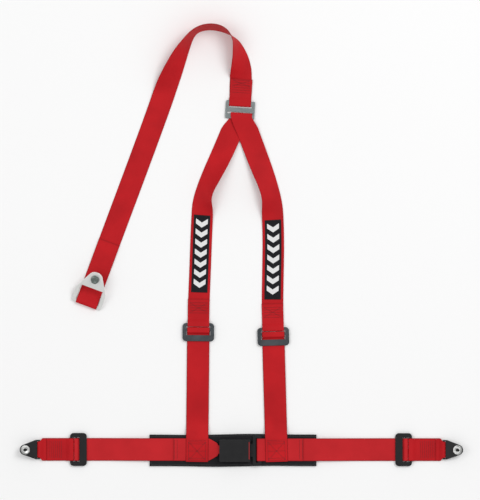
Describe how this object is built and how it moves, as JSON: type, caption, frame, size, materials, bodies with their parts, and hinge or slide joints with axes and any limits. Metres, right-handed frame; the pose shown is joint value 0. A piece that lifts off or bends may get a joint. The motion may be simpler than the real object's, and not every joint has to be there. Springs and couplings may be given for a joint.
{
  "type": "racing harness",
  "caption": "Flat-lay seat harness with joined shoulder straps, padded lap belt with a lift-latch buckle, strap adjusters and bolt-in anchor plates.",
  "frame": {"origin": "centre of the lap pad's back face, on the surface the harness lies on", "axes": "+Z out of the lap pad's back towards its front; the lap belt runs along X with the buckle's tongue towards +X; the shoulder straps run towards +Y"},
  "size_m": [1.0088, 1.0032, 0.0508],
  "materials": {
    "webbing": "woven polyester webbing, red, slight sheen",
    "pad_fabric": "woven nylon cover, black",
    "foam": "soft foam, off-white",
    "label": "woven label, black",
    "black_steel": "black coated steel, satin",
    "grey_steel": "dull zinc plate",
    "bright_zinc": "bright zinc plate",
    "bolt_steel": "zinc-plated steel",
    "dark_bolt": "blackened steel",
    "buckle_steel": "black coated steel",
    "lid_paint": "black powder coat, semi-gloss",
    "red_plastic": "red moulded plastic",
    "spring_steel": "spring wire",
    "retainer_plastic": "white nylon"
  },
  "bodies": {
    "harness": {"lap_pad_cover": "pad_fabric", "lap_pad_foam": "foam", "left_lap_strap": "webbing", "left_end_strap": "webbing", "left_chest_strap": "webbing", "right_chest_strap": "webbing", "shoulder_strap": "webbing", "rear_strap": "webbing", "left_shoulder_label": "label", "right_shoulder_label": "label", "buckle_frame": "buckle_steel", "buckle_web_bar": "buckle_steel", "buckle_hinge_pin": "buckle_steel", "buckle_lid_spring": "spring_steel", "buckle_ejector_spring": "spring_steel", "buckle_spring_stop": "buckle_steel"},
    "lid": {"buckle_lid": "lid_paint", "buckle_release_strip": "red_plastic", "buckle_latch_plate": "buckle_steel", "buckle_lid_rivets": "buckle_steel"},
    "tongue_side": {"buckle_tongue": "buckle_steel", "right_lap_strap": "webbing", "right_end_strap": "webbing"},
    "ejector": {"buckle_ejector": "retainer_plastic"},
    "left_lap_slide": {"left_lap_adjuster": "black_steel"},
    "right_lap_slide": {"right_lap_adjuster": "black_steel"},
    "left_shoulder_slide": {"left_shoulder_adjuster": "black_steel"},
    "right_shoulder_slide": {"right_shoulder_adjuster": "black_steel"},
    "strap_joiner": {"y_slide": "grey_steel"},
    "left_anchor": {"left_anchor_plate": "black_steel"},
    "right_anchor": {"right_anchor_plate": "black_steel"},
    "rear_anchor": {"rear_anchor_plate": "bright_zinc"},
    "left_bolt": {"left_anchor_bolt": "bolt_steel", "left_bolt_washer": "bright_zinc", "left_bolt_retainer": "retainer_plastic"},
    "right_bolt": {"right_anchor_bolt": "bolt_steel", "right_bolt_washer": "bright_zinc", "right_bolt_retainer": "retainer_plastic"},
    "rear_bolt": {"rear_anchor_bolt": "dark_bolt", "rear_bolt_washer": "bright_zinc", "rear_bolt_retainer": "retainer_plastic"}
  },
  "joints": [
    {"name": "lid_hinge", "type": "hinge", "parent": "harness", "child": "lid", "pos_m": [-0.028, 0, 0.0175], "axis": [0, -1, 0], "range_deg": [0, 75], "deforming": ["buckle_lid_spring"]},
    {"name": "tongue_slide", "type": "slide", "parent": "harness", "child": "tongue_side", "axis": [1, 0, 0], "range_m": [0, 0.032], "deforming": ["right_chest_strap"]},
    {"name": "ejector_slide", "type": "slide", "parent": "harness", "child": "ejector", "axis": [1, 0, 0], "range_m": [0, 0.007], "deforming": ["buckle_ejector_spring"]},
    {"name": "left_lap_adjuster_tilt", "type": "hinge", "parent": "harness", "child": "left_lap_slide", "pos_m": [-0.3682, 0.002, 0.0049], "axis": [0, -1, 0], "range_deg": [0, 35], "deforming": ["left_lap_strap", "left_end_strap"]},
    {"name": "right_lap_adjuster_tilt", "type": "hinge", "parent": "tongue_side", "child": "right_lap_slide", "pos_m": [0.4049, 0.0015, 0.0049], "axis": [0, 1, 0], "range_deg": [0, 35], "deforming": ["right_lap_strap", "right_end_strap"]},
    {"name": "left_shoulder_adjuster_tilt", "type": "hinge", "parent": "harness", "child": "left_shoulder_slide", "pos_m": [-0.07873, 0.287, 0.0049], "axis": [-0.9999, 0.0105, 0], "range_deg": [0, 35], "deforming": ["left_chest_strap", "shoulder_strap"]},
    {"name": "right_shoulder_adjuster_tilt", "type": "hinge", "parent": "harness", "child": "right_shoulder_slide", "pos_m": [0.09138, 0.277, 0.0049], "axis": [-0.9996, -0.0279, 0], "range_deg": [0, 35], "deforming": ["right_chest_strap", "shoulder_strap"]},
    {"name": "strap_joiner_tilt", "type": "hinge", "parent": "harness", "child": "strap_joiner", "pos_m": [0.01733, 0.79107, 0.0033], "axis": [-0.9978, 0.0663, 0], "range_deg": [0, 30], "deforming": ["shoulder_strap", "rear_strap"]},
    {"name": "left_anchor_hinge", "type": "hinge", "parent": "harness", "child": "left_anchor", "pos_m": [-0.4416, 0.002, 0.00471], "axis": [0, 1, 0], "range_deg": [0, 65]},
    {"name": "right_anchor_hinge", "type": "hinge", "parent": "tongue_side", "child": "right_anchor", "pos_m": [0.48, 0.0015, 0.00471], "axis": [0, -1, 0], "range_deg": [0, 65]},
    {"name": "rear_anchor_hinge", "type": "hinge", "parent": "harness", "child": "rear_anchor", "pos_m": [-0.3335, 0.3344, 0.00571], "axis": [0.9379, -0.3469, 0], "range_deg": [0, 140]},
    {"name": "left_bolt_spin", "type": "hinge", "parent": "left_anchor", "child": "left_bolt", "pos_m": [-0.47341, 0.002, 0.01672], "axis": [0.353, 0, 0.9356], "continuous": true},
    {"name": "right_bolt_spin", "type": "hinge", "parent": "right_anchor", "child": "right_bolt", "pos_m": [0.51181, 0.0015, 0.01672], "axis": [-0.353, 0, 0.9356], "continuous": true},
    {"name": "rear_bolt_spin", "type": "hinge", "parent": "rear_anchor", "child": "rear_bolt", "pos_m": [-0.31281, 0.39033, 0.03158], "axis": [-0.1381, -0.3733, 0.9174], "continuous": true}
  ],
  "couplings": [
    {"joint": "tongue_slide", "follows": "lid_hinge", "m_per_rad": 0.024446},
    {"joint": "ejector_slide", "follows": "lid_hinge", "m_per_rad": 0.005348}
  ]
}
